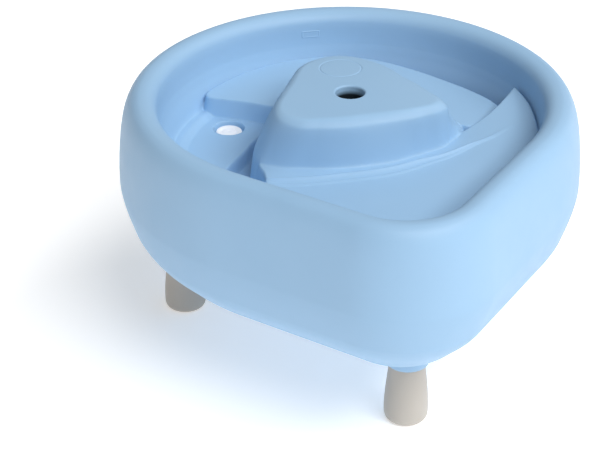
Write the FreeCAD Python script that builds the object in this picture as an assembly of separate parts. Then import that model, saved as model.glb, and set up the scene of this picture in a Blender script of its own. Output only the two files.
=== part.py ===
import FreeCAD, Part
import os
import math

os.makedirs("parts", exist_ok=True)

V = FreeCAD.Vector

# ---------------------------------------------------------------- dimensions
# All in mm, +Z up. The plan outline is one large circle with a single rounded
# corner towards -Y. Plan coordinates below are taken about the circle centre,
# which is also the centre of the middle hole; Y_SHIFT moves the finished part
# so that the middle of its bounding box is at x = y = 0.
R_MAIN = 350.0            # big circle of the outline, at the widest level
R_CORNER = 146.5          # rounded corner of the outline
PSI = math.radians(46.624)  # half angle of the corner arc
DC = (R_MAIN - R_CORNER) / math.cos(PSI)   # corner arc centre at (0, -DC)
Y_SHIFT = (DC + R_CORNER - R_MAIN) / 2.0
WALL = 4.0                # moulded skin thickness
Z_BOTTOM = 145.3          # underside of the basin
Z_CHANNEL = 280.0         # lowest level inside the basin
LIP_Z = 413.4             # top of the middle hill
HUB_R = 22.0              # middle hole
HUB_CHAMFER = 2.0

# legs
LEG_PCD_R = 267.7
LEG_ANGLES = {"leg_front": -85.2, "leg_left": 153.9, "leg_right": 34.4}
BOSS_Z = 98.0             # lower face of each leg boss
BOSS_R_LOW = 32.0
BOSS_R_HIGH = 42.0
LEG_R_MAX = 33.0
LEG_R_TOP = 26.5
SPIGOT_R = 19.9
SOCKET_R = 20.0
SPIGOT_TOP = 162.0
SOCKET_TOP = 164.0
LEG_WALL = 3.5

# drain
DRAIN_XY = (-160.3, 133.4)
DRAIN_FLOOR = 304.0
RECESS_R = 24.3
RECESS_Z = 293.0
DRAIN_R = 15.5
DISC_R = 20.3
DISC_T = 6.0
STEM_R = 15.2
STEM_LEN = 30.0
SEAL_R = 15.45

# leg screws
SCREW_Z = 121.0
SCREW_R = 2.1
SCREW_HEAD_R = 4.5
SCREW_LEN = 16.0

# section of the rim and outer wall: (inset from the widest outline, height)
SECTION = [(108.0, 145.3), (92.0, 149.0), (70.0, 160.5), (47.8, 180.0),
           (30.0, 197.5), (16.5, 218.0), (6.3, 249.5), (0.5, 274.0),
           (0.0, 284.3), (0.6, 312.5), (2.4, 339.4), (5.3, 363.6),
           (9.3, 383.8), (14.6, 397.5), (21.5, 407.0), (30.5, 411.8),
           (38.0, 412.4), (46.4, 410.8), (53.6, 406.0),
           (58.4, 398.8), (60.0, 390.0), (62.6, 362.0), (66.5, 345.0),
           (73.5, 326.0), (79.5, 308.0), (86.5, 280.0)]

# hill outlines: (angle, radius) at the foot, z 337, and at the shoulder, z 400
HILL_FOOT = [(-88, 104), (-64.7, 110), (-43.4, 124), (-27.4, 149), (-14.3, 169),
             (-4, 176), (8, 166), (22, 149), (39, 143), (62, 157), (76, 169),
             (88, 172), (100, 165), (112, 152), (127, 137), (147, 127),
             (165, 134), (180, 147), (191, 158), (199, 160), (206, 153), (213, 144),
             (227, 124), (252, 107)]
HILL_TOP = [(-85, 89), (-61, 98), (-41, 119), (-30, 138), (-22, 144), (-9.5, 129),
            (10.5, 115), (24, 110), (39, 116), (62, 132), (75, 143), (87, 147),
            (99, 141), (111, 132), (127, 114), (146, 104), (169.5, 109),
            (182, 119), (194, 129), (201, 132), (208, 130), (218, 122),
            (231, 107), (251, 94)]


def lerp(a, b, t):
    return a + (b - a) * t


def interp(x, pts):
    if x <= pts[0][0]:
        return pts[0][1]
    for (x0, y0), (x1, y1) in zip(pts, pts[1:]):
        if x <= x1:
            return lerp(y0, y1, (x - x0) / (x1 - x0))
    return pts[-1][1]


def smooth(x, pts):
    """monotone-ish smooth interpolation through (x, y) pairs"""
    if x <= pts[0][0]:
        return pts[0][1]
    if x >= pts[-1][0]:
        return pts[-1][1]
    n = len(pts)
    m = []
    for i in range(n):
        a = pts[max(i - 1, 0)]
        b = pts[min(i + 1, n - 1)]
        m.append((b[1] - a[1]) / (b[0] - a[0]))
    for i in range(n - 1):
        x0, y0 = pts[i]
        x1, y1 = pts[i + 1]
        if x <= x1:
            h = x1 - x0
            t = (x - x0) / h
            return (y0 * (2 * t**3 - 3 * t**2 + 1) + m[i] * h * (t**3 - 2 * t**2 + t)
                    + y1 * (-2 * t**3 + 3 * t**2) + m[i + 1] * h * (t**3 - t**2))


def outline_point(phi, inset):
    """point of the outline whose outward normal has angle phi (radians)"""
    d = abs((phi + math.pi / 2 + math.pi) % (2 * math.pi) - math.pi)
    c, s = math.cos(phi), math.sin(phi)
    if d < PSI:
        return (c * (R_CORNER - inset), -DC + s * (R_CORNER - inset))
    return (c * (R_MAIN - inset), s * (R_MAIN - inset))


def ray_radius(deg, inset):
    """distance from the circle centre to the inset outline along a ray"""
    a = math.radians(deg)
    ux, uy = math.cos(a), math.sin(a)
    best = R_MAIN - inset
    dev = abs((deg + 90 + 180) % 360 - 180)
    if dev > 90:
        return best
    # tangent lines at the two ends of the corner arc
    for sgn in (1, -1):
        phi = -math.pi / 2 + sgn * PSI
        nx, ny = math.cos(phi), math.sin(phi)
        dist = R_MAIN - inset
        den = ux * nx + uy * ny
        if den > 1e-9 and (ux * sgn) >= -1e-9:
            r = dist / den
            x, y = ux * r, uy * r
            tx, ty = -ny * sgn, nx * sgn     # along the line, away from the corner
            along = x * tx + y * ty
            length = DC * math.sin(PSI)
            if along > 0:
                return R_MAIN - inset
            if along > -length:
                return r
    # corner arc
    b = uy * DC
    c = DC * DC - (R_CORNER - inset) ** 2
    return -b + math.sqrt(max(b * b - c, 0.0))


def offset_section(pts, g):
    """inset the open section polyline by g towards the material side"""
    if g == 0:
        return list(pts)
    out = []
    n = len(pts)
    for i in range(n):
        a = pts[max(i - 1, 0)]
        b = pts[min(i + 1, n - 1)]
        tx, tz = b[0] - a[0], b[1] - a[1]
        L = math.hypot(tx, tz)
        # walking bottom -> widest -> rim -> inside: material is on the right
        nx, nz = tz / L, -tx / L
        out.append((pts[i][0] + nx * g, pts[i][1] + nz * g))
    return out


def section_face(place, g):
    """closed section of the rim ring as a face; place(inset, z) -> Vector"""
    pts = offset_section(SECTION, g)
    zb, zt = Z_BOTTOM + g, Z_CHANNEL - g
    pts[0] = (110.0, zb)
    pts[-1] = (86.5 - g, zt)
    w = Part.makePolygon([place(*p) for p in pts] + [place(110.0, zt), place(*pts[0])])
    return Part.Face(w)


def ring(g):
    length = DC * math.sin(PSI)
    a0 = -math.pi / 2 + PSI
    parts = []
    # big arc
    f = section_face(lambda d, z: V((R_MAIN - d) * math.cos(a0), (R_MAIN - d) * math.sin(a0), z), g)
    parts.append(f.revolve(V(0, 0, 0), V(0, 0, 1), 360.0 - 2 * math.degrees(PSI)))
    # corner arc
    a1 = -math.pi / 2 - PSI
    f = section_face(lambda d, z: V((R_CORNER - d) * math.cos(a1),
                                    -DC + (R_CORNER - d) * math.sin(a1), z), g)
    parts.append(f.revolve(V(0, -DC, 0), V(0, 0, 1), 2 * math.degrees(PSI)))
    # two straight flanks
    for sgn in (1, -1):
        a = -math.pi / 2 + sgn * PSI
        nx, ny = math.cos(a), math.sin(a)
        tx, ty = ny * sgn, -nx * sgn        # from the big arc towards the corner
        f = section_face(lambda d, z: V((R_MAIN - d) * nx, (R_MAIN - d) * ny, z), g)
        parts.append(f.extrude(V(tx * length, ty * length, 0)))
    return parts


def outline_wire(inset, z):
    a0 = -math.pi / 2 + PSI
    a1 = -math.pi / 2 - PSI

    def pm(phi):
        x, y = outline_point(phi, inset)
        return V(x, y, z)
    rm, rc = R_MAIN - inset, R_CORNER - inset

    def on_main(phi):
        return V(rm * math.cos(phi), rm * math.sin(phi), z)

    def on_corner(phi):
        return V(rc * math.cos(phi), -DC + rc * math.sin(phi), z)
    arc1 = Part.Arc(on_main(a0), on_main(math.pi / 2), on_main(a1 + 2 * math.pi)).toShape()
    arc2 = Part.Arc(on_corner(a1), on_corner(-math.pi / 2), on_corner(a0)).toShape()
    l1 = Part.makeLine(on_main(a1 + 2 * math.pi), on_corner(a1))
    l2 = Part.makeLine(on_corner(a0), on_main(a0))
    return Part.Wire([arc1, l1, arc2, l2])


def core(g):
    f = Part.Face(outline_wire(100.0, Z_BOTTOM + g))
    return f.extrude(V(0, 0, Z_CHANNEL - Z_BOTTOM - 2 * g))


def closed_curve(polar, k, g, z):
    """closed smooth curve through scaled polar points, pulled in by g"""
    pts = []
    for a, r in polar:
        q = (r - g) * k
        pts.append(V(q * math.cos(math.radians(a)), q * math.sin(math.radians(a)), z))
    sp = Part.BSplineCurve()
    sp.interpolate(Points=pts, PeriodicFlag=True)
    return Part.Wire([sp.toShape()])


def resample(polar, n=30):
    pts = sorted([((a + 360) % 360, r) for a, r in polar])
    pts = [(pts[-2][0] - 360, pts[-2][1]), (pts[-1][0] - 360, pts[-1][1])] + pts + \
          [(pts[0][0] + 360, pts[0][1]), (pts[1][0] + 360, pts[1][1])]
    return [(360.0 * i / n, smooth(360.0 * i / n, pts)) for i in range(n)]


def hill(g):
    foot = resample(HILL_FOOT)
    top = resample(HILL_TOP)

    def mix(t, off=0.0):
        return [(a, lerp(r, s, t) - off) for (a, r), (_, s) in zip(foot, top)]
    secs = [(mix(-0.55), 1.0, 262.0), (mix(0.0), 1.0, 337.0), (mix(0.55), 1.0, 372.0),
            (mix(0.9), 1.0, 392.0 ), (mix(1.0, 5.0), 1.0, 401.5), (mix(1.0, 14.0), 1.0, 407.3),
            (mix(1.0, 30.0), 1.0, 410.3), (mix(1.0, 48.0), 1.0, 411.9)]
    wires = [closed_curve(p, k, g, z - (g if i > 0 else 0)) for i, (p, k, z) in enumerate(secs)]
    return Part.makeLoft(wires, True, True)


def blade(g, r_in, outer, lead, trail, height, depth, ns, nt):
    """fan blade: smooth top surface over a swept plan area, extruded down"""
    rows = []
    for i in range(ns):
        s = i / (ns - 1.0)
        row = []
        for j in range(nt):
            t = j / (nt - 1.0)
            r_nom = lerp(r_in, 300.0, t)
            da = math.degrees(g / max(r_nom, 60.0))
            a_l = smooth(r_nom, lead) - da
            a_t = smooth(r_nom, trail) + da
            a = lerp(a_l, a_t, s)
            r = lerp(r_in, outer(a), t)
            row.append(V(r * math.cos(math.radians(a)), r * math.sin(math.radians(a)),
                         height(a, r) - g))
        rows.append(row)
    sf = Part.BSplineSurface()
    sf.interpolate(rows)
    return sf.toShape().extrude(V(0, 0, -depth))


# ---- back blade: from the riser on the left round the back to under the next
BACK_LEAD = [(60, 118), (120, 122), (170, 127), (205, 130), (250, 134), (300, 138)]
BACK_TRAIL = [(60, 12), (150, 6), (185, -4), (230, 0), (300, 10)]
BACK_Z = [(-5, 339.5), (20, 341), (40, 343), (60, 345), (79, 344), (96, 341.5),
          (112, 338.5), (134, 335)]


def back_outer(g):
    def f(a):
        free = smooth(a, [(-10, 258), (13, 254.5), (25.5, 247.5), (37.5, 243.5), (54, 250),
                          (68, 265), (79, 283), (92, 299), (100, 300)]) - (g if a < 80 else 0)
        return free
    return f


def back_height(a, r):
    return smooth(a, BACK_Z)


# ---- left blade, the drain floor
LEFT_LEAD = [(60, 136), (150, 142), (158, 161), (175, 174), (194, 184), (215, 192),
             (240, 200), (265, 207), (300, 214)]
LEFT_TRAIL = [(60, 112), (120, 116), (170, 121), (205, 124), (250, 128), (300, 132)]


def left_height(a, r):
    base = interp(a, [(128, 304), (150, 304.5), (215, 315)])
    return base


# ---- front blade: high tip on the right, falling clockwise to the left end
FRONT_LEAD = [(60, -28), (150, -17), (180, -9.9), (206, -4.2), (238, 2.3), (256, 5.7),
              (280, 9.9), (300, 12.5)]
FRONT_TRAIL = [(60, -178), (150, -164), (163, -160), (171, -152), (185, -146),
               (210, -141), (250, -137), (300, -134)]
FRONT_IN = [(-180, 333), (-160, 336), (-120, 337), (-40, 338), (-18, 343), (10, 350), (20, 352)]
FRONT_OUT = [(-160, 316), (-130, 318), (-100, 321), (-70, 327), (-45, 338), (-25, 350),
             (-8, 360), (10, 368.5), (20, 370)]


def front_height(a, r):
    r0 = smooth(a, [(-165, 165), (-149, 148), (-133, 124), (-108, 107), (-88, 104), (-64.7, 110),
                    (-43.4, 124), (-27.4, 149), (-14.3, 169), (15, 176)])
    r1 = ray_radius(a, 62.0)
    t = (r - r0) / (r1 - r0)
    t = max(-0.5, min(1.15, t))
    tt = 1.0 - (1.0 - max(t, 0.0)) ** 1.35 if t < 1 else 1.0
    if t < 0:
        tt = t * 1.35
    return lerp(smooth(a, FRONT_IN), smooth(a, FRONT_OUT), min(tt, 1.0))


def leg_xy(name):
    a = math.radians(LEG_ANGLES[name])
    return LEG_PCD_R * math.cos(a), LEG_PCD_R * math.sin(a)


def boss(name, g):
    x, y = leg_xy(name)
    prof = [(0, BOSS_Z + g), (BOSS_R_LOW - 2 - g, BOSS_Z + g), (BOSS_R_LOW - g, BOSS_Z + 2 + g),
            (BOSS_R_LOW + 1.5 - g, BOSS_Z + 14), (BOSS_R_LOW + 5 - g, BOSS_Z + 27),
            (BOSS_R_HIGH - g, BOSS_Z + 38), (BOSS_R_HIGH + 1 - g, BOSS_Z + 60),
            (BOSS_R_HIGH + 1 - g, 205.0), (0, 205.0)]
    w = Part.makePolygon([V(x + r, y, z) for r, z in prof] + [V(x, y, BOSS_Z + g)])
    return Part.Face(w).revolve(V(x, y, 0), V(0, 0, 1), 360)


def fuse_all(parts):
    s = parts[0].multiFuse(parts[1:8])
    for p in parts[8:]:
        s = s.fuse(p)
    return s


def skin(g):
    """everything inside the outer surface, pulled in by g"""
    parts = ring(g) + [core(g)] + [boss(n, g) for n in LEG_ANGLES]
    parts.append(hill(g))
    parts.append(blade(g, 60.0, back_outer(g), BACK_LEAD, BACK_TRAIL, back_height, 110.0, 10, 5))
    parts.append(blade(g, 60.0, lambda a: 300.0, LEFT_LEAD, LEFT_TRAIL, left_height, 90.0, 7, 6))
    parts.append(blade(g, 60.0, lambda a: ray_radius(a, 50.0), FRONT_LEAD, FRONT_TRAIL,
                       front_height, 110.0, 18, 6))
    return fuse_all(parts)


def cyl(r, z0, z1, xy=(0.0, 0.0)):
    return Part.makeCylinder(r, z1 - z0, V(xy[0], xy[1], z0), V(0, 0, 1))


def radial_cyl(name, r, s0, s1, z):
    """cylinder along the line from the leg axis to the middle; s from the axis"""
    x, y = leg_xy(name)
    L = math.hypot(x, y)
    ux, uy = -x / L, -y / L
    return Part.makeCylinder(r, s1 - s0, V(x + ux * s0, y + uy * s0, z), V(ux, uy, 0))


def make_basin():
    outer = skin(0.0)
    hollow = skin(WALL)
    # posts that join the two skins: hub tube, drain tube, leg sockets
    keep = [cyl(HUB_R + WALL, 100, 430),
            cyl(DRAIN_R + WALL, 100, 400, DRAIN_XY),
            cyl(RECESS_R + WALL, RECESS_Z - WALL, 400, DRAIN_XY)]
    for n in LEG_ANGLES:
        keep.append(cyl(SOCKET_R + WALL, BOSS_Z - 1, SOCKET_TOP + WALL, leg_xy(n)))
        keep.append(radial_cyl(n, 9.0, 18.0, 60.0, SCREW_Z))
    hollow = hollow.cut(keep)
    s = outer.cut(hollow)
    cuts = [cyl(HUB_R, 100, 430),
            Part.makeCone(HUB_R + HUB_CHAMFER + 1.5, HUB_R, HUB_CHAMFER + 1.5,
                          V(0, 0, 411.9 - HUB_CHAMFER + 1.5), V(0, 0, -1)),
            Part.makeCone(HUB_R, HUB_R + 2.0, 2.0, V(0, 0, Z_BOTTOM), V(0, 0, -1)),
            cyl(DRAIN_R, 100, 400, DRAIN_XY),
            cyl(RECESS_R, RECESS_Z, 400, DRAIN_XY)]
    for n in LEG_ANGLES:
        cuts.append(cyl(SOCKET_R, BOSS_Z - 1, SOCKET_TOP, leg_xy(n)))
        cuts.append(radial_cyl(n, SCREW_R + 0.05, 15.0, 60.0, SCREW_Z))
        cuts.append(radial_cyl(n, 5.5, 30.0, 60.0, SCREW_Z))
    s = s.cut(cuts)
    sols = sorted(s.Solids, key=lambda q: -q.Volume)
    return sols[0], sols


def make_leg(name):
    x, y = leg_xy(name)
    outer = [(0, 0.0), (22.5, 0.0), (27.5, 1.3), (31.0, 4.6), (32.6, 9.5), (LEG_R_MAX, 17.0),
             (32.9, 27.0), (32.2, 41.0), (30.7, 58.0), (28.6, 78.0), (LEG_R_TOP, BOSS_Z)]
    sp = Part.BSplineCurve()
    sp.interpolate([V(x + r, y, z) for r, z in outer[1:]])
    e = [Part.makeLine(V(x, y, 0), V(x + 22.5, y, 0)), sp.toShape(),
         Part.makeLine(V(x + LEG_R_TOP, y, BOSS_Z), V(x + SPIGOT_R, y, BOSS_Z)),
         Part.makeLine(V(x + SPIGOT_R, y, BOSS_Z), V(x + SPIGOT_R, y, SPIGOT_TOP - 2)),
         Part.makeLine(V(x + SPIGOT_R, y, SPIGOT_TOP - 2), V(x + SPIGOT_R - 2, y, SPIGOT_TOP)),
         Part.makeLine(V(x + SPIGOT_R - 2, y, SPIGOT_TOP), V(x, y, SPIGOT_TOP)),
         Part.makeLine(V(x, y, SPIGOT_TOP), V(x, y, 0))]
    body = Part.Face(Part.Wire(e)).revolve(V(x, y, 0), V(0, 0, 1), 360)
    w = LEG_WALL
    inner = [(0, w), (21, w), (26.5, 6.5), (29.0, 12.0), (29.4, 20.0), (28.6, 42.0),
             (27.1, 58.0), (25.0, 78.0), (22.6, BOSS_Z - w - 2), (SPIGOT_R - w, BOSS_Z + 3),
             (SPIGOT_R - w, SPIGOT_TOP - w), (0, SPIGOT_TOP - w)]
    wi = Part.makePolygon([V(x + r, y, z) for r, z in inner] + [V(x, y, w)])
    body = body.cut(Part.Face(wi).revolve(V(x, y, 0), V(0, 0, 1), 360))
    return body.cut(radial_cyl(name, SCREW_R, 5.0, 30.0, SCREW_Z))


def make_screw(name):
    # head sits on the floor of its pocket, 30 mm from the leg axis
    shank = radial_cyl(name, SCREW_R, 30.0 - SCREW_LEN, 30.05, SCREW_Z)
    head = radial_cyl(name, SCREW_HEAD_R, 30.0, 33.0, SCREW_Z)
    x, y = leg_xy(name)
    L = math.hypot(x, y)
    ux, uy = -x / L, -y / L
    # cross recess
    c = V(x + ux * 31.5, y + uy * 31.5, SCREW_Z)
    b1 = Part.makeBox(3.0, 1.0, 5.0, V(0, -0.5, -2.5))
    b2 = Part.makeBox(3.0, 5.0, 1.0, V(0, -2.5, -0.5))
    b = b1.fuse(b2)
    b.rotate(V(0, 0, 0), V(0, 0, 1), math.degrees(math.atan2(uy, ux)))
    b.translate(c)
    head = head.makeFillet(0.9, [e for e in head.Edges
                                 if abs(e.Length - 2 * math.pi * SCREW_HEAD_R) < 0.01
                                 and e.CenterOfMass.sub(V(x + ux * 33, y + uy * 33, SCREW_Z)).Length < 0.1])
    return head.fuse(shank).cut(b)


def make_plug():
    x, y = DRAIN_XY
    z0 = RECESS_Z
    prof = [(0, z0 + DISC_T), (DISC_R - 2.0, z0 + DISC_T), (DISC_R - 0.6, z0 + DISC_T - 0.6),
            (DISC_R, z0 + DISC_T - 2.0), (DISC_R, z0), (STEM_R, z0), (STEM_R, z0 - 8.0),
            (STEM_R - 1.6, z0 - 8.0), (STEM_R - 1.6, z0 - 11.0), (STEM_R, z0 - 11.0),
            (STEM_R, z0 - STEM_LEN + 6), (STEM_R - 2.0, z0 - STEM_LEN), (0, z0 - STEM_LEN)]
    w = Part.makePolygon([V(x + r, y, z) for r, z in prof] + [V(x, y, z0 + DISC_T)])
    s = Part.Face(w).revolve(V(x, y, 0), V(0, 0, 1), 360)
    # hollow from below, and a shallow ring groove in the top for the fingers
    s = s.cut(cyl(STEM_R - 4.2, z0 - STEM_LEN - 1, z0 + DISC_T - 3.0, DRAIN_XY))
    g = cyl(DISC_R - 4.5, z0 + DISC_T - 1.0, z0 + DISC_T + 1, DRAIN_XY).cut(
        cyl(DISC_R - 6.5, z0 + DISC_T - 1.0, z0 + DISC_T + 1, DRAIN_XY))
    return s.cut(g)


def make_seal():
    x, y = DRAIN_XY
    zc = RECESS_Z - 9.5
    w = Part.makePolygon([V(x + STEM_R - 1.6, y, zc - 1.3), V(x + SEAL_R - 0.3, y, zc - 1.3),
                          V(x + SEAL_R, y, zc - 0.5), V(x + SEAL_R, y, zc + 0.5),
                          V(x + SEAL_R - 0.3, y, zc + 1.3), V(x + STEM_R - 1.6, y, zc + 1.3),
                          V(x + STEM_R - 1.6, y, zc - 1.3)])
    return Part.Face(w).revolve(V(x, y, 0), V(0, 0, 1), 360)


def out(shape, name):
    s = shape.copy()
    s.translate(V(0, Y_SHIFT, 0))
    s.exportStep("parts/%s.step" % name)
    bb = s.BoundBox
    print("%-12s solids %d valid %s vol %.1f cm3  x %.1f..%.1f y %.1f..%.1f z %.1f..%.1f"
          % (name, len(s.Solids), s.isValid(), s.Volume / 1000.0,
             bb.XMin, bb.XMax, bb.YMin, bb.YMax, bb.ZMin, bb.ZMax))


basin, extra = make_basin()
if len(extra) > 1:
    print("extra solids", [round(q.Volume, 1) for q in extra])
out(basin, "basin")
for leg in LEG_ANGLES:
    out(make_leg(leg), leg)
out(Part.makeCompound([make_screw(n) for n in LEG_ANGLES]), "leg_screws")
out(make_plug(), "drain_plug")
out(make_seal(), "plug_seal")
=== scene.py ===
import bpy
import math
import numpy as np
from mathutils import Vector, Matrix


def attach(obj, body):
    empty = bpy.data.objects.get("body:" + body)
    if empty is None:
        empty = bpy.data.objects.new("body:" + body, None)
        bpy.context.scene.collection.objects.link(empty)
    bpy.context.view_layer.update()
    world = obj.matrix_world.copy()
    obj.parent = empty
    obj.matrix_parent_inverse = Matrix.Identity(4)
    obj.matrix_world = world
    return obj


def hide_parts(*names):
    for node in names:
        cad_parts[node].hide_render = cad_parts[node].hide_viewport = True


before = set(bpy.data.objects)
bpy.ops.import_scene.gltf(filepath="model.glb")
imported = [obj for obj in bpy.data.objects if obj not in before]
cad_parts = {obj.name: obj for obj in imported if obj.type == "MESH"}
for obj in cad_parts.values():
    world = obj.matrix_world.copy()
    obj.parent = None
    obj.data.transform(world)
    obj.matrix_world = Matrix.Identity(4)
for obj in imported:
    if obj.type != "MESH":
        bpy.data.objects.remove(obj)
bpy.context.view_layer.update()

# ------------------------------------------------------------ dimensions, mm
R_MAIN, R_CORNER = 350.0, 146.5
PSI = math.radians(46.624)
DC = (R_MAIN - R_CORNER) / math.cos(PSI)
FL = DC * math.sin(PSI)
YS = (DC + R_CORNER - R_MAIN) / 2.0
HUB_R = 22.0
DRAIN = (-160.3, 133.4)
LEG_R = 267.7
LEGS = {"leg_front": -85.2, "leg_left": 153.9, "leg_right": 34.4}
BOSS_Z = 98.0

SECTION = [(16.5, 218.0), (6.3, 249.5), (0.7, 274.0), (0.0, 288.0), (0.6, 312.5), (2.4, 339.4),
           (5.3, 363.6), (9.3, 383.8), (14.6, 397.5), (21.5, 407.0), (30.5, 411.8), (38.0, 412.35),
           (46.4, 410.6), (53.6, 405.8), (58.2, 398.8), (60.0, 390.0)]
WALL_IN = [(60.0, 390.0), (60.6, 381.0), (61.4, 371.0), (62.8, 360.0), (66.5, 345.0), (73.5, 326.0),
           (79.5, 308.0), (86.5, 280.0), (95.0, 240.0), (120.0, 120.0)]
UNDER = [(16.5, 218.0), (22.0, 208.0), (30.0, 197.5), (47.8, 180.0), (60.0, 168.0), (70.0, 160.5),
         (82.0, 153.2), (92.0, 149.0), (102.0, 146.4), (112.0, 145.4), (125.0, 145.3), (400.0, 145.3)]

HILL_FOOT = [(-88, 104), (-64.7, 110), (-43.4, 124), (-27.4, 149), (-14.3, 169),
             (-4, 176), (8, 166), (22, 149), (39, 143), (62, 157), (76, 169),
             (88, 172), (100, 165), (112, 152), (127, 137), (147, 127),
             (165, 134), (180, 147), (191, 158), (199, 160), (206, 153), (213, 144),
             (227, 124), (252, 107)]
HILL_TOP = [(-85, 89), (-61, 98), (-41, 119), (-30, 138), (-22, 144), (-9.5, 129),
            (10.5, 115), (24, 110), (39, 116), (62, 132), (75, 143), (87, 147),
            (99, 141), (111, 132), (127, 114), (146, 104), (169.5, 109),
            (182, 119), (194, 129), (201, 132), (208, 130), (218, 122),
            (231, 107), (251, 94)]

BACK_LEAD = [(60, 118), (120, 122), (170, 127), (205, 130), (250, 134), (300, 138)]
BACK_TRAIL = [(60, 12), (150, 6), (185, -4), (230, 0), (300, 10)]
BACK_Z = [(-5, 339.5), (20, 341), (40, 343), (60, 345), (79, 344), (96, 341.5), (112, 338.5), (134, 335)]
BACK_EDGE = [(-10, 258), (13, 254.5), (25.5, 247.5), (37.5, 243.5), (54, 250), (68, 265), (79, 276.5),
             (90, 279.0), (112, 278.0), (126, 275.0), (140, 272.0)]
LEFT_LEAD = [(60, 136), (150, 142), (158, 161), (175, 174), (194, 184), (215, 192),
             (240, 200), (265, 207), (300, 214)]
FRONT_LEAD = [(60, -28), (150, -17), (180, -9.9), (206, -4.2), (238, 2.3), (256, 5.7),
              (280, 9.9), (300, 12.5)]
FRONT_TRAIL = [(60, -178), (150, -164), (163, -160), (171, -152), (185, -146),
               (210, -141), (250, -137), (300, -134)]
FRONT_IN = [(-180, 333), (-160, 336), (-120, 337), (-40, 338), (-18, 343), (10, 350), (20, 352)]
FRONT_OUT = [(-160, 316), (-130, 318), (-100, 321), (-70, 327), (-45, 338), (-25, 350),
             (-8, 360), (10, 368.5), (20, 370)]
FRONT_R0 = [(-165, 165), (-149, 148), (-133, 124), (-108, 107), (-88, 104), (-64.7, 110),
            (-43.4, 124), (-27.4, 149), (-14.3, 169), (15, 176)]
LINE_A = [(-155, 190), (-146, 175), (-135.4, 154), (-122.8, 136), (-107.4, 122), (-89.4, 117.5),
          (-70.2, 120), (-51.3, 131), (-38.5, 154), (-26, 184), (-19.4, 212), (-10, 250)]


# ------------------------------------------------------------ small helpers
def hermite(x, pts):
    """smooth interpolation through (x, y) pairs, clamped at both ends"""
    xs = np.array([p[0] for p in pts], float)
    ys = np.array([p[1] for p in pts], float)
    m = np.gradient(ys, xs) if len(xs) > 2 else np.array([0.0, 0.0])
    for i in range(1, len(xs) - 1):
        m[i] = (ys[i + 1] - ys[i - 1]) / (xs[i + 1] - xs[i - 1])
    x = np.clip(np.asarray(x, float), xs[0], xs[-1])
    i = np.clip(np.searchsorted(xs, x, side="right") - 1, 0, len(xs) - 2)
    h = xs[i + 1] - xs[i]
    t = (x - xs[i]) / h
    return (ys[i] * (2 * t**3 - 3 * t**2 + 1) + m[i] * h * (t**3 - 2 * t**2 + t)
            + ys[i + 1] * (3 * t**2 - 2 * t**3) + m[i + 1] * h * (t**3 - t**2))


def around(pts):
    """periodic copy of an (angle, value) list covering -360..720"""
    p = sorted(((a + 360) % 360, r) for a, r in pts)
    return [(a + k, r) for k in (-360, 0, 360) for a, r in p]


def sstep(x, a, b):
    t = np.clip((x - a) / (b - a), 0.0, 1.0)
    return t * t * (3 - 2 * t)


def smax(a, b, k):
    h = np.maximum(k - np.abs(a - b), 0.0) / k
    return np.maximum(a, b) + h * h * k / 4.0


def smin(a, b, k):
    return -smax(-a, -b, k)


def inset_of(x, y):
    """distance inwards from the widest outline"""
    ax = np.abs(x)
    nx, ny = math.sin(PSI), -math.cos(PSI)
    tx, ty = -math.cos(PSI), -math.sin(PSI)
    t = ax * tx + y * ty
    main = R_MAIN - np.hypot(x, y)
    flank = R_MAIN - (ax * nx + y * ny)
    corner = R_CORNER - np.hypot(x, y + DC)
    return np.where(t <= 0, main, np.where(t >= FL, corner, flank))


def normal_at(x, y):
    ax = np.abs(x)
    sg = np.where(x < 0, -1.0, 1.0)
    tx, ty = -math.cos(PSI), -math.sin(PSI)
    t = ax * tx + y * ty
    r = np.hypot(x, y)
    rc = np.hypot(x, y + DC)
    nx = np.where(t <= 0, x / r, np.where(t >= FL, x / rc, sg * math.sin(PSI)))
    ny = np.where(t <= 0, y / r, np.where(t >= FL, (y + DC) / rc, -math.cos(PSI)))
    return nx, ny


def edge_radius(ang, inset):
    """distance from the middle to the inset outline along rays (radians), by bisection"""
    lo = np.full_like(ang, 10.0)
    hi = np.full_like(ang, 500.0)
    c, s = np.cos(ang), np.sin(ang)
    for _ in range(50):
        mid = (lo + hi) / 2
        inside = inset_of(mid * c, mid * s) > inset
        lo = np.where(inside, mid, lo)
        hi = np.where(inside, hi, mid)
    return (lo + hi) / 2


_EA = np.radians(np.linspace(-180, 180, 1441))
_ER = edge_radius(_EA, 62.0)


def to_curve(ang_deg, r, pts):
    """signed distance (mm) to a swept edge given as angle(radius); positive
    where the angle is larger"""
    a0 = hermite(r, pts)
    da = np.radians(hermite(r + 1.0, pts) - hermite(r - 1.0, pts)) / 2.0
    f = np.radians(ang_deg - a0)
    return f / np.sqrt(1.0 / np.maximum(r, 20.0) ** 2 + da**2)


def shelf(top, d, rho, slope=8.0):
    """height of a step: rounded at its edge (radius rho), steep beyond it"""
    t = np.clip(1.0 - d / rho, 0.0, 1.0)
    q = np.sqrt(np.maximum(1.0 - t * t, 0.0))
    drop = rho * (1.0 - q)
    # keep the steep end of the quarter circle finite
    drop = np.where(d < 0.12 * rho, rho * (1.0 - math.sqrt(1 - 0.88**2)) + (0.12 * rho - d) * slope, drop)
    return top - drop


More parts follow.
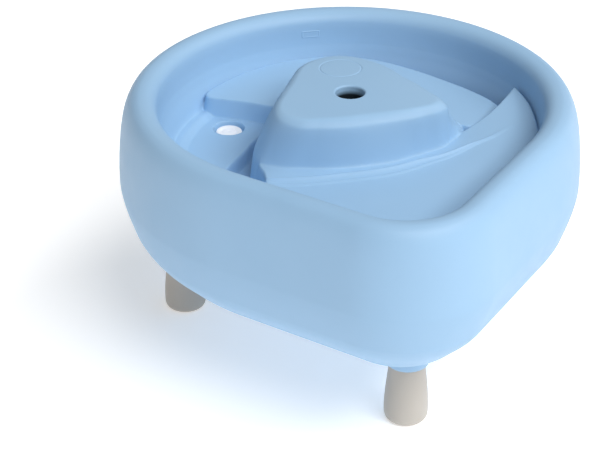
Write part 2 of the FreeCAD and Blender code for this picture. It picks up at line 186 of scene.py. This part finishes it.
def front_top(a, r):
    r0 = hermite(a, FRONT_R0)
    r1 = np.interp(np.radians(a), _EA, _ER)
    t = np.clip((r - r0) / (r1 - r0), -0.5, 1.0)
    tt = np.where(t < 0, t * 1.35, 1.0 - (1.0 - np.clip(t, 0, 1)) ** 1.35)
    z = hermite(a, FRONT_IN) + (hermite(a, FRONT_OUT) - hermite(a, FRONT_IN)) * tt
    # a raised apron round the foot of the hill, ending in a chamfered step
    ra = hermite(a, LINE_A)
    w = 13.0 * (1 - sstep(a, -60, -22)) + 5.0 * sstep(a, -60, -22)
    amount = sstep(a, -168, -150) * (1.0 - sstep(a, -34, -12))
    lift = 2.4 * amount
    q = np.clip((r - ra) / w, 0.0, 1.0)
    z = z + lift * (1.0 - q) - 0.6 * lift * q * (1 - sstep(r, ra + w, ra + w + 60))
    bead = 1.6 * sstep(a, -172, -152) * (1.0 - sstep(a, -30, -8))
    z = z + bead * np.exp(-((r - ra) / 2.6) ** 2) + bead * np.exp(-((r - ra - w) / 2.6) ** 2)
    return z


def interior(x, y):
    """height of the inside surface of the basin"""
    r = np.hypot(x, y)
    a = np.degrees(np.arctan2(y, x))
    a360 = np.where(a < 0, a + 360, a)
    inset = inset_of(x, y)
    z = np.full_like(x, 282.0)
    # left blade with the drain
    d = to_curve(a360, r, [(p, q) for p, q in LEFT_LEAD])
    top = 304.0 + 11.0 * sstep(a360, 146, 214) + 6.5 * sstep(r, 246, 262)
    left = shelf(top, np.minimum(-d, to_curve(a360, r, [(60, 108), (300, 112)])), 3.2)
    left = np.where((a360 > 100) & (a360 < 250), left, 200.0)
    z = smax(z, left, 6.0)
    # back blade
    d1 = -to_curve(a, r, BACK_LEAD)
    d2 = to_curve(a, r, BACK_TRAIL)
    er = hermite(a, BACK_EDGE)
    der = (hermite(a + 1, BACK_EDGE) - hermite(a - 1, BACK_EDGE)) / 2.0
    d3 = (er - r) / np.sqrt(1.0 + (np.degrees(der) / np.maximum(r, 50)) ** 2)
    d = smin(smin(d1, d2, 8.0), d3, 26.0)
    back = shelf(hermite(a, BACK_Z), d, 3.4)
    back = np.where((a > -25) & (a < 160), back, 200.0)
    z = smax(z, back, 6.0)
    # front blade with the raised tip
    d1 = -to_curve(a, r, FRONT_LEAD)
    aa = np.where(a > 90, a - 360, a)
    d2 = to_curve(aa, r, FRONT_TRAIL)
    tip = hermite(a, [(-40, 310), (-24, 296), (-17, 286), (-10, 284.2), (0, 284.0), (12, 281.5), (20, 280)])
    d3 = np.where(a > -40, tip - r, 50.0)
    d = smin(smin(d1, d2, 4.0), d3, 3.0)
    f = shelf(front_top(aa, r), d, 3.2)
    f = np.where((aa < 40) & (aa > -200), f, 200.0)
    z = smax(z, f, 6.0)
    # hill
    rf = hermite(a, around(HILL_FOOT))
    rt = hermite(a, around(HILL_TOP))
    side = 398.0 + (rt + 4.0 - r) * (61.0 / np.maximum(rf - rt - 4.0, 6.0))
    side = np.where(side < 337.0, 337.0 + (side - 337.0) * 3.2, side)
    cham = 410.2 + (rt - 7.0 - r) * 1.12
    flat = 410.2 + 1.9 * (1 - np.clip(r / 110.0, 0, 1.3) ** 2)
    hill = smin(smin(flat, cham, 10.0), side, 15.0)
    z = smax(z, hill, 9.0)
    # plain ring where the round mark sits on the hill, and the drain recess
    dm = np.abs(np.hypot(x - MARK[0], y - MARK[1]) - 32.0)
    z = z - 0.8 * (1 - sstep(dm, 0.5, 1.7))
    dd = np.hypot(x - DRAIN[0], y - DRAIN[1])
    z = np.where(dd < 40, smin(z, 293.0 + np.maximum(dd - 23.6, 0) * 9.0, 2.5), z)
    # wall, coved into whatever meets it
    wall = np.interp(inset, [p[0] for p in WALL_IN], [p[1] for p in WALL_IN])
    z = smax(z, wall, 9.0)
    return z


MARK = (7.0, 86.6)


def underside(x, y):
    inset = inset_of(x, y)
    z = hermite(inset, UNDER)
    for name, deg in LEGS.items():
        cx, cy = LEG_R * math.cos(math.radians(deg)), LEG_R * math.sin(math.radians(deg))
        d = np.hypot(x - cx, y - cy)
        prof = np.interp(d, [0, 30.6, 31.6, 32.3, 32.6, 33.6, 35.2, 37.4, 40.4, 43.5, 47, 56, 80],
                         [98, 98, 98.4, 99.4, 101, 110, 119, 127, 134.5, 142, 153, 190, 300])
        z = smin(z, prof, 7.0)
    return z


# ------------------------------------------------------------ the basin mesh
def lines(segs):
    """sorted line positions with a step that changes by zone: (start, end, step)"""
    out = []
    for a, b, s in segs:
        n = max(1, int(round((b - a) / s)))
        out += list(np.linspace(a, b, n, endpoint=False))
    return np.array(out)


K = 1.0
ang = np.radians(lines([(-180, -176, 0.34 * K), (-176, -130, 0.34 * K), (-130, -60, 0.4 * K), (-60, -20, 0.4 * K),
                        (-20, 16, 0.26 * K), (16, 120, 0.40 * K), (120, 132.4, 0.24 * K), (132.4, 148.4, 0.15 * K),
                        (148.4, 180, 0.3 * K)]))
NU = len(ang)
r60 = edge_radius(ang, 60.0)
px, py = r60 * np.cos(ang), r60 * np.sin(ang)
nx, ny = normal_at(px, py)

sec = np.array(SECTION)
# resample the outer section smoothly by chord length
ch = np.r_[0, np.cumsum(np.hypot(np.diff(sec[:, 0]), np.diff(sec[:, 1])))]
n_sec = int(100 / K)
tt = np.linspace(0, ch[-1], n_sec)
sd = hermite(tt, list(zip(ch, sec[:, 0])))
sz = hermite(tt, list(zip(ch, sec[:, 1])))
sd = np.maximum(sd, 0.12)
sz = np.minimum(sz, 412.38)

rows = []      # list of (x, y, z) arrays, each of length NU, bottom -> rim -> inside -> hub tube -> under
# outer wall and rim
for d, z in zip(sd, sz):
    k = 60.0 - d
    rows.append((px + nx * k, py + ny * k, np.full(NU, z)))
# inside, from the top of the wall to the hub
frac_mm = np.r_[lines([(0.35, 6.0, 0.4 * K), (6.0, 50.0, 1.15 * K), (50.0, 54.0, 1.0 * K), (54.0, 112.0, 0.62 * K),
                       (112.0, 262.0, 1.25 * K), (262.0, 267.9, 0.9 * K)])]
full = 290.0 - HUB_R - 3.2
hx, hy = np.cos(ang), np.sin(ang)
for f in frac_mm:
    q = min(f / 268.0, 1.0)
    rr = r60 * (1 - q) + (HUB_R + 3.2) * q
    # keep the first millimetres parallel to the wall
    w = max(0.0, 1.0 - f / 40.0)
    x = (px - nx * f) * w + rr * hx * (1 - w)
    y = (py - ny * f) * w + rr * hy * (1 - w)
    rows.append((x, y, interior(x, y)))
ztop = float(interior(np.array([25.2]), np.array([0.0]))[0])
for t in np.linspace(0, math.pi / 2, 7):
    rr = HUB_R + 3.2 - 3.2 * math.sin(t)
    rows.append((rr * hx, rr * hy, np.full(NU, ztop - 3.2 * (1 - math.cos(t)))))
for z in np.linspace(ztop - 5, 149.0, 14):
    rows.append((HUB_R * hx, HUB_R * hy, np.full(NU, z)))
for t in np.linspace(0.2, 1, 4):
    rr = HUB_R + 2.0 * t
    rows.append((rr * hx, rr * hy, np.full(NU, 147.3 - 2.0 * t)))
# underside, from the hub outwards
p16 = 60.0 - 16.5
qx, qy = px + nx * p16, py + ny * p16
for f in lines([(0.01, 0.30, 0.012 * K), (0.30, 1.0, 0.0042 * K)]):
    rr = (HUB_R + 2.0)
    x = rr * hx * (1 - f) + qx * f
    y = rr * hy * (1 - f) + qy * f
    rows.append((x, y, underside(x, y)))

P = np.array([np.stack(r, -1) for r in rows])        # (NR, NU, 3)
NR = len(P)
P[..., 1] += YS
P *= 0.001


def grid_mesh(name, P, close_v):
    nr, nu = P.shape[:2]
    idx = np.arange(nr * nu).reshape(nr, nu)
    a = idx[:, :]
    b = np.roll(idx, -1, 1)
    if close_v:
        c = np.roll(b, -1, 0)
        d = np.roll(a, -1, 0)
    else:
        c, d = b[1:], a[1:]
        a, b = a[:-1], b[:-1]
    faces = np.stack([a, b, c, d], -1).reshape(-1, 4)
    me = bpy.data.meshes.new(name)
    me.vertices.add(nr * nu)
    me.vertices.foreach_set("co", P.reshape(-1).astype(np.float32))
    me.loops.add(len(faces) * 4)
    me.loops.foreach_set("vertex_index", faces.reshape(-1).astype(np.int32))
    me.polygons.add(len(faces))
    me.polygons.foreach_set("loop_start", np.arange(0, len(faces) * 4, 4, dtype=np.int32))
    me.polygons.foreach_set("loop_total", np.full(len(faces), 4, np.int32))
    me.update(calc_edges=True)
    me.validate()
    me.polygons.foreach_set("use_smooth", np.ones(len(me.polygons), bool))
    ob = bpy.data.objects.new(name, me)
    bpy.context.scene.collection.objects.link(ob)
    return ob


def label_pad():
    """plain raised pad, rounded at its corners, with a fine border line, on the back of the inner wall"""
    ins = np.array([p[0] for p in WALL_IN])[::-1]
    zs = np.array([p[1] for p in WALL_IN])[::-1]
    order = np.argsort(zs)
    nu_, nv_ = 96, 48
    u = np.linspace(-16.0, 16.0, nu_)
    v = np.linspace(-6.6, 6.6, nv_)
    U, V = np.meshgrid(u, v)
    qx_ = np.maximum(np.abs(U) - 12.6, 0.0)
    qy_ = np.maximum(np.abs(V) - 3.4, 0.0)
    sd_ = np.hypot(qx_, qy_) - 2.4
    high = 1.0 * (1 - sstep(sd_, -0.9, 0.3)) - 0.45 * np.exp(-((sd_ + 2.2) / 0.45) ** 2)
    t = math.radians(88.4) - U / 288.0
    z = 379.0 + V
    r = R_MAIN - np.interp(z, zs[order], ins[order])
    f = r - high + 0.25
    k = r + 1.4
    front = np.stack([f * np.cos(t), f * np.sin(t) + YS, z], -1).reshape(-1, 3) * 0.001
    back = np.stack([k * np.cos(t), k * np.sin(t) + YS, z], -1).reshape(-1, 3) * 0.001
    n = nu_ * nv_
    fs = []
    for j in range(nv_ - 1):
        for i in range(nu_ - 1):
            p = j * nu_ + i
            fs.append((p, p + 1, p + nu_ + 1, p + nu_))
            fs.append((n + p, n + p + nu_, n + p + nu_ + 1, n + p + 1))
    edge = [i for i in range(nu_)] + [j * nu_ + nu_ - 1 for j in range(1, nv_)] + \
           [(nv_ - 1) * nu_ + i for i in range(nu_ - 2, -1, -1)] + [j * nu_ for j in range(nv_ - 2, 0, -1)]
    for p, q in zip(edge, edge[1:] + edge[:1]):
        fs.append((p, n + p, n + q, q))
    me = bpy.data.meshes.new("label_pad")
    me.from_pydata(np.r_[front, back].tolist(), [], fs)
    me.update()
    me.polygons.foreach_set("use_smooth", np.ones(len(me.polygons), bool))
    ob = bpy.data.objects.new("label_pad", me)
    bpy.context.scene.collection.objects.link(ob)
    return ob


basin = grid_mesh("basin_shell", P, True)
pad = label_pad()
print("basin verts", len(basin.data.vertices))


# ------------------------------------------------------------ legs and plug
def revolve(name, prof, centre, seg=128, sharp=None):
    """closed body of revolution about a vertical axis; prof from axis to axis"""
    vs, fs = [], []
    n = len(prof)
    cx, cy = centre
    ring_idx = []
    for r, z in prof:
        if r < 1e-6:
            ring_idx.append([len(vs)])
            vs.append((cx, cy, z))
        else:
            ring_idx.append(list(range(len(vs), len(vs) + seg)))
            for k in range(seg):
                t = 2 * math.pi * k / seg
                vs.append((cx + r * math.cos(t), cy + r * math.sin(t), z))
    for i in range(n - 1):
        A, B = ring_idx[i], ring_idx[i + 1]
        for k in range(seg):
            k2 = (k + 1) % seg
            if len(A) == 1 and len(B) == 1:
                continue
            if len(A) == 1:
                fs.append((A[0], B[k2], B[k]))
            elif len(B) == 1:
                fs.append((A[k], A[k2], B[0]))
            else:
                fs.append((A[k], A[k2], B[k2], B[k]))
    me = bpy.data.meshes.new(name)
    me.from_pydata([(x * 0.001, (y + YS) * 0.001, z * 0.001) for x, y, z in vs], [], fs)
    me.update()
    me.polygons.foreach_set("use_smooth", np.ones(len(me.polygons), bool))
    ob = bpy.data.objects.new(name, me)
    bpy.context.scene.collection.objects.link(ob)
    return ob


# drain tube, from the recess down through the underside, its upper edge eased
cutter = revolve("drain_cutter", [(0.0, 120.0), (15.5, 120.0), (15.5, 292.2), (16.3, 293.0), (16.3, 296.0), (0.0, 296.0)],
                 DRAIN, 128)
md = basin.modifiers.new("drain", "BOOLEAN")
md.operation = "DIFFERENCE"
md.solver = "MANIFOLD"
md.object = cutter
whole = basin.data
basin.data = bpy.data.meshes.new_from_object(basin.evaluated_get(bpy.context.evaluated_depsgraph_get()))
basin.modifiers.clear()
bpy.data.objects.remove(cutter)
bpy.data.meshes.remove(whole)
print("basin verts with the drain", len(basin.data.vertices))

leg_prof_out = [(22.5, 0.0), (27.5, 1.3), (31.0, 4.6), (32.6, 9.5), (33.0, 17.0),
                (32.9, 27.0), (32.2, 41.0), (30.7, 58.0), (28.6, 78.0), (26.6, 97.2)]
lp = np.array(leg_prof_out)
chl = np.r_[0, np.cumsum(np.hypot(np.diff(lp[:, 0]), np.diff(lp[:, 1])))]
tl = np.linspace(0, chl[-1], 60)
lr = hermite(tl, list(zip(chl, lp[:, 0])))
lz = np.maximum(hermite(tl, list(zip(chl, lp[:, 1]))), 0.0)
legs = {}
for name, deg in LEGS.items():
    c = (LEG_R * math.cos(math.radians(deg)), LEG_R * math.sin(math.radians(deg)))
    prof = [(0.0, 0.0), (14.0, 0.0), (21.5, 0.0)] + list(zip(lr, lz)) + \
           [(26.2, 98.0), (25.4, 98.3), (20.2, 98.4), (19.9, 99.2), (19.9, 160.0), (17.9, 162.0), (0.0, 162.0)]
    legs[name] = revolve(name + "_peg", prof, c, 160)

# plug: disc with a recessed top, a finger ring and a moulded parting edge
zt = 299.0
pp = [(0, zt - 1.3), (3.0, zt - 1.3), (3.6, zt - 1.0), (4.2, zt - 0.9), (9.6, zt - 0.9), (10.2, zt - 1.1),
      (10.8, zt - 1.4), (11.8, zt - 1.4), (12.4, zt - 1.1), (12.9, zt - 0.9), (14.0, zt - 0.9), (14.9, zt - 0.5),
      (15.6, zt - 0.1), (16.4, zt), (18.2, zt), (19.2, zt - 0.25), (19.9, zt - 0.8), (20.3, zt - 1.8),
      (20.3, zt - 5.2), (19.9, zt - 6.0), (15.2, zt - 6.0), (15.2, 285.0), (13.6, 285.0), (13.6, 282.0),
      (15.2, 282.0), (15.2, 269.0), (13.2, 263.0), (0, 263.0)]
plug = revolve("drain_plug_disc", pp[::-1], DRAIN, 144)


def add_bevelled_sharpness(ob, deg=40):
    me = ob.data
    try:
        me.set_sharp_from_angle(angle=math.radians(deg))
    except Exception:
        pass


for o in list(legs.values()) + [plug]:
    add_bevelled_sharpness(o, 50)


# ------------------------------------------------------------ materials
def new_mat(name):
    m = bpy.data.materials.new(name)
    m.use_nodes = True
    nt = m.node_tree
    nt.nodes.clear()
    out = nt.nodes.new("ShaderNodeOutputMaterial")
    bs = nt.nodes.new("ShaderNodeBsdfPrincipled")
    nt.links.new(bs.outputs["BSDF"], out.inputs["Surface"])
    return m, nt, bs


def noise(nt, co, scale, detail=4.0, rough=0.55, dist=0.0):
    n = nt.nodes.new("ShaderNodeTexNoise")
    n.inputs["Scale"].default_value = scale
    n.inputs["Detail"].default_value = detail
    n.inputs["Roughness"].default_value = rough
    n.inputs["Distortion"].default_value = dist
    nt.links.new(co, n.inputs["Vector"])
    return n.outputs["Fac"]


def ramp(nt, fac, stops):
    r = nt.nodes.new("ShaderNodeValToRGB")
    el = r.color_ramp.elements
    el[0].position, el[0].color = stops[0][0], (*stops[0][1], 1)
    el[1].position, el[1].color = stops[-1][0], (*stops[-1][1], 1)
    for p, c in stops[1:-1]:
        e = el.new(p)
        e.color = (*c, 1)
    nt.links.new(fac, r.inputs["Fac"])
    return r.outputs["Color"]


def remap(nt, v, a, b, c, d):
    m = nt.nodes.new("ShaderNodeMapRange")
    m.inputs["From Min"].default_value = a
    m.inputs["From Max"].default_value = b
    m.inputs["To Min"].default_value = c
    m.inputs["To Max"].default_value = d
    nt.links.new(v, m.inputs["Value"])
    return m.outputs["Result"]


def math_node(nt, op, a, b):
    m = nt.nodes.new("ShaderNodeMath")
    m.operation = op
    for i, v in enumerate((a, b)):
        if isinstance(v, (int, float)):
            m.inputs[i].default_value = v
        else:
            nt.links.new(v, m.inputs[i])
    return m.outputs[0]


def mixc(nt, fac, a, b, mode="MIX"):
    m = nt.nodes.new("ShaderNodeMix")
    m.data_type = "RGBA"
    m.blend_type = mode
    for s, v in ((0, fac), (6, a), (7, b)):
        if isinstance(v, (int, float)):
            m.inputs[s].default_value = v
        elif isinstance(v, tuple):
            m.inputs[s].default_value = (*v, 1)
        else:
            nt.links.new(v, m.inputs[s])
    return m.outputs[2]


def bump(nt, height, strength, dist, prev=None):
    b = nt.nodes.new("ShaderNodeBump")
    b.inputs["Strength"].default_value = strength
    b.inputs["Distance"].default_value = dist
    nt.links.new(height, b.inputs["Height"])
    if prev is not None:
        nt.links.new(prev, b.inputs["Normal"])
    return b.outputs["Normal"]


def coords(nt):
    t = nt.nodes.new("ShaderNodeTexCoord")
    return t.outputs["Object"]


def plastic(name, base, dark, light, rough, grain, grain_h, speck=0.0, spec=0.45, scratch=True, sss=0.0, tube=False):
    m, nt, bs = new_mat(name)
    co = coords(nt)
    big = noise(nt, co, 3.2, 3.0, 0.5, 0.3)
    mid = noise(nt, co, 26.0, 4.0, 0.6)
    fine = noise(nt, co, 420.0, 3.0, 0.6)
    c1 = ramp(nt, big, [(0.30, dark), (0.55, base), (0.80, light)])
    c2 = mixc(nt, remap(nt, mid, 0.35, 0.75, 0.0, 0.35), c1, base)
    # painted shade: the inner wall of the hub tube, from about 8 mm below its rim downwards, is coloured nearly
    # black (3 % of the base colour) to stand in for the darkness deep in the hole
    if tube:
        sep = nt.nodes.new("ShaderNodeSeparateXYZ")
        nt.links.new(co, sep.inputs[0])
        yy = math_node(nt, "SUBTRACT", sep.outputs[1], YS * 0.001)
        rad = math_node(nt, "SQRT", math_node(nt, "ADD", math_node(nt, "POWER", sep.outputs[0], 2.0),
                                              math_node(nt, "POWER", yy, 2.0)), 0.0)
        tube_shade_wall_mask = remap(nt, rad, 0.0226, 0.0235, 1.0, 0.0)
        tube_shade_depth_mask = remap(nt, sep.outputs[2], 0.397, 0.4045, 1.0, 0.0)
        c2 = mixc(nt, math_node(nt, "MULTIPLY", tube_shade_wall_mask, tube_shade_depth_mask), c2, tuple(x * 0.03 for x in base))
    if speck > 0:
        sp = noise(nt, co, 1500.0, 1.0, 0.5)
        f = remap(nt, sp, 0.66, 0.78, 0.0, speck)
        c2 = mixc(nt, f, c2, tuple(x * 0.8 for x in base))
    nt.links.new(c2, bs.inputs["Base Color"])
    rr = remap(nt, mid, 0.3, 0.75, rough - 0.05, rough + 0.07)
    rf = remap(nt, fine, 0.3, 0.7, -0.04, 0.05)
    r = math_node(nt, "ADD", rr, rf)
    if scratch:
        mp = nt.nodes.new("ShaderNodeMapping")
        mp.inputs["Scale"].default_value = (1.0, 9.0, 2.0)
        mp.inputs["Rotation"].default_value = (0.3, 0.2, 0.6)
        nt.links.new(co, mp.inputs["Vector"])
        sc = noise(nt, mp.outputs["Vector"], 90.0, 6.0, 0.75)
        r = math_node(nt, "ADD", r, remap(nt, sc, 0.62, 0.8, 0.0, 0.12))
    nt.links.new(r, bs.inputs["Roughness"])
    bs.inputs["Specular IOR Level"].default_value = spec
    bs.inputs["IOR"].default_value = 1.5
    if sss > 0:
        bs.inputs["Subsurface Weight"].default_value = sss
        bs.inputs["Subsurface Radius"].default_value = (0.6, 0.8, 1.0)
        bs.inputs["Subsurface Scale"].default_value = 0.004
    n1 = bump(nt, noise(nt, co, 7.0, 2.0, 0.5), 0.35, 0.0012)
    vor = nt.nodes.new("ShaderNodeTexVoronoi")
    vor.inputs["Scale"].default_value = grain
    nt.links.new(co, vor.inputs["Vector"])
    g = math_node(nt, "ADD", math_node(nt, "MULTIPLY", vor.outputs["Distance"], 0.5), fine)
    n2 = bump(nt, g, 0.55, grain_h, n1)
    nt.links.new(n2, bs.inputs["Normal"])
    return m


# tube=True paints shade (near-black colour) onto the inside of the hub tube
BLUE = plastic("blue_polyethylene", (0.340, 0.542, 0.762), (0.323, 0.525, 0.748), (0.357, 0.559, 0.776),
               0.47, 700.0, 0.00010, speck=0.10, spec=0.36, tube=True)
BEIGE = plastic("beige_plastic", (0.52, 0.475, 0.42), (0.495, 0.45, 0.40), (0.55, 0.505, 0.45),
                0.50, 900.0, 0.00008, speck=0.10)
WHITE = plastic("white_plastic", (0.93, 0.93, 0.94), (0.88, 0.88, 0.90), (0.96, 0.96, 0.97),
                0.40, 1200.0, 0.00005)
# painted light: the white plastic is given a faint white glow (emission 0.06) so the plug looks brighter in its
# shaded recess
for n in WHITE.node_tree.nodes:
    if n.type == "BSDF_PRINCIPLED":
        n.inputs["Emission Color"].default_value = (1.0, 1.0, 1.0, 1)
        n.inputs["Emission Strength"].default_value = 0.06
RUBBER = plastic("black_rubber", (0.025, 0.025, 0.026), (0.018, 0.018, 0.018), (0.04, 0.04, 0.04),
                 0.62, 1400.0, 0.00006, spec=0.3)


def steel():
    m, nt, bs = new_mat("zinc_steel")
    co = coords(nt)
    n = noise(nt, co, 300.0, 5.0, 0.6)
    nt.links.new(ramp(nt, n, [(0.3, (0.46, 0.46, 0.47)), (0.7, (0.66, 0.66, 0.68))]), bs.inputs["Base Color"])
    bs.inputs["Metallic"].default_value = 1.0
    nt.links.new(remap(nt, n, 0.3, 0.7, 0.28, 0.45), bs.inputs["Roughness"])
    nt.links.new(bump(nt, n, 0.3, 0.00008), bs.inputs["Normal"])
    return m


STEEL = steel()


def set_mat(ob, m):
    ob.data.materials.clear()
    ob.data.materials.append(m)


set_mat(basin, BLUE)
set_mat(pad, BLUE)
for o in legs.values():
    set_mat(o, BEIGE)
set_mat(plug, WHITE)
for node, m in (("leg_screws", STEEL), ("plug_seal", RUBBER)):
    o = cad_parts[node]
    for s in o.material_slots:
        s.link = "OBJECT"
        s.material = m

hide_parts("basin")
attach(basin, "table")
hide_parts("basin")
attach(pad, "table")
for name, o in legs.items():
    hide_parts(name)
    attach(o, "table")
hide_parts("drain_plug")
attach(plug, "plug")

# ------------------------------------------------------------ floor, light, camera
bpy.ops.mesh.primitive_plane_add(size=60.0, location=(0, 12.0, -0.0005))
floor = bpy.context.object
floor.name = "floor"
fm, fnt, fbs = new_mat("floor_pale")
fbs.inputs["Base Color"].default_value = (0.93, 0.93, 0.93, 1)
fbs.inputs["Roughness"].default_value = 0.9
fbs.inputs["Specular IOR Level"].default_value = 0.1
fbs.inputs["Emission Color"].default_value = (1.0, 1.0, 1.0, 1)
fbs.inputs["Emission Strength"].default_value = 0.38
set_mat(floor, fm)

w = bpy.data.worlds.new("studio")
bpy.context.scene.world = w
w.use_nodes = True
bg = w.node_tree.nodes["Background"]
bg.inputs["Color"].default_value = (1.0, 1.0, 1.0, 1)
bg.inputs["Strength"].default_value = 0.28


def area(name, loc, target, size, power, color=(1, 1, 1)):
    ld = bpy.data.lights.new(name, "AREA")
    ld.shape = "DISK"
    ld.size = size
    ld.energy = power
    ld.color = color
    ob = bpy.data.objects.new(name, ld)
    bpy.context.scene.collection.objects.link(ob)
    ob.location = loc
    d = Vector(target) - Vector(loc)
    ob.rotation_euler = d.to_track_quat("-Z", "Y").to_euler()
    return ob


def sun(name, toward, angle, power):
    """very soft directional light shining from the given direction"""
    ld = bpy.data.lights.new(name, "SUN")
    ld.angle = math.radians(angle)
    ld.energy = power
    ob = bpy.data.objects.new(name, ld)
    bpy.context.scene.collection.objects.link(ob)
    ob.location = Vector(toward) * 3.0
    ob.rotation_euler = (-Vector(toward)).to_track_quat("-Z", "Y").to_euler()


sun("key", (0.66, -0.02, 0.70), 26.0, 0.72)
sun("fill", (0.20, -0.58, 0.78), 34.0, 1.75)
area("glint", (1.5, -1.9, 2.3), (0, 0, 0.35), 0.55, 12.0)

cam_d = bpy.data.cameras.new("cam")
cam = bpy.data.objects.new("cam", cam_d)
bpy.context.scene.collection.objects.link(cam)
bpy.context.scene.camera = cam
AZ, EL = math.radians(13.093), math.radians(29.7)
X, Y, H = -0.0751, -2.705, 1.725
ca, sa = math.cos(-AZ), math.sin(-AZ)
cam.location = (X * ca - Y * sa, X * sa + Y * ca + YS * 0.001, H)
look = Vector((math.sin(AZ) * math.cos(EL), math.cos(AZ) * math.cos(EL), -math.sin(EL)))
cam.rotation_euler = look.to_track_quat("-Z", "Y").to_euler()
cam_d.sensor_width = 36.0
cam_d.lens = 120.0
cam_d.clip_start, cam_d.clip_end = 0.05, 200.0
bpy.context.scene.view_settings.view_transform = "Standard"
